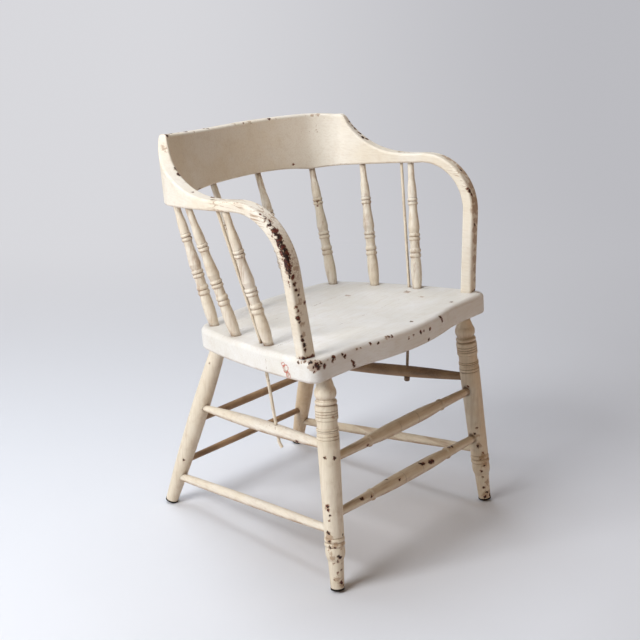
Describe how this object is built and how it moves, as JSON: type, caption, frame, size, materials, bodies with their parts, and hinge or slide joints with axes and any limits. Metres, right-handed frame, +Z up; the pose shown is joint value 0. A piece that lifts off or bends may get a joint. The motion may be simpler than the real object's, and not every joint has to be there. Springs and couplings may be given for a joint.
{
  "type": "captains chair",
  "caption": "Painted wooden captains chair with a plank seat, a bent one-piece back and arm bow on turned spindles, turned legs with stretchers, and steel tie rods.",
  "frame": {"origin": "on the floor, in the middle of the chair's width and depth", "axes": "+Z up, the front of the chair faces -Y, +X towards the sitter's left"},
  "size_m": [0.5734, 0.5204, 0.7725],
  "materials": {
    "painted_wood": "old off-white oil paint, satin, chipped at the edges down to dark wood",
    "bare_wood": "bare hardwood",
    "rod_steel": "steel under thin worn off-white paint",
    "glide_steel": "dark tarnished steel"
  },
  "bodies": {
    "root": {"arm_bow": "painted_wood", "glide_front_left": "glide_steel", "glide_front_right": "glide_steel", "glide_rear_left": "glide_steel", "glide_rear_right": "glide_steel", "leg_front_left": "painted_wood", "leg_front_right": "painted_wood", "leg_rear_left": "painted_wood", "leg_rear_right": "painted_wood", "seat_board_front": "painted_wood", "seat_board_middle": "painted_wood", "seat_board_rear": "painted_wood", "seat_dowels": "bare_wood", "spindle_left_back": "painted_wood", "spindle_left_front": "painted_wood", "spindle_left_middle": "painted_wood", "spindle_left_rear": "painted_wood", "spindle_right_back": "painted_wood", "spindle_right_front": "painted_wood", "spindle_right_middle": "painted_wood", "spindle_right_rear": "painted_wood", "stretcher_front_lower": "painted_wood", "stretcher_front_upper": "painted_wood", "stretcher_rear_lower": "painted_wood", "stretcher_rear_upper": "painted_wood", "stretcher_side_lower_left": "painted_wood", "stretcher_side_lower_right": "painted_wood", "stretcher_side_upper_left": "painted_wood", "stretcher_side_upper_right": "painted_wood", "tie_rod_left": "rod_steel", "tie_rod_nut_left": "rod_steel", "tie_rod_right": "rod_steel"}
  },
  "joints": []
}
